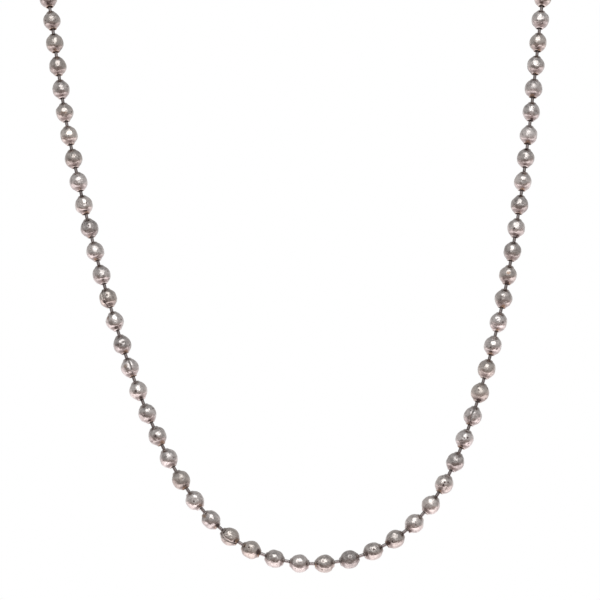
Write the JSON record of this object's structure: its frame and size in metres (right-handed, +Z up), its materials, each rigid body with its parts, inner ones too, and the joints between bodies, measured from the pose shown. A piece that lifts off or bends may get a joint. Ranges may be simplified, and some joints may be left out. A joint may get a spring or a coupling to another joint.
{
  "type": "ball chain necklace",
  "caption": "Worn loop of hollow metal balls linked by short dumbbell pins, hanging in a deep curve at the front and closed at the nape by a plain coupling sleeve.",
  "frame": {"origin": "middle of the chain at the nape, inside the coupling sleeve, where the necklace hangs on the back of the neck", "axes": "+Z up along the neck, -Y forward from the nape to the chest, +X to the right as seen from the front"},
  "size_m": [0.1047, 0.1147, 0.1481],
  "materials": {
    "bead_metal": "polished steel, worn, with brown tarnish round the holes and small dents and scratches",
    "pin_metal": "drawn steel wire, dull and tarnished",
    "sleeve_metal": "folded sheet, polished and lightly worn"
  },
  "bodies": {
    "root": {"balls": "bead_metal", "pins": "pin_metal", "clasp": "sleeve_metal"}
  },
  "joints": []
}
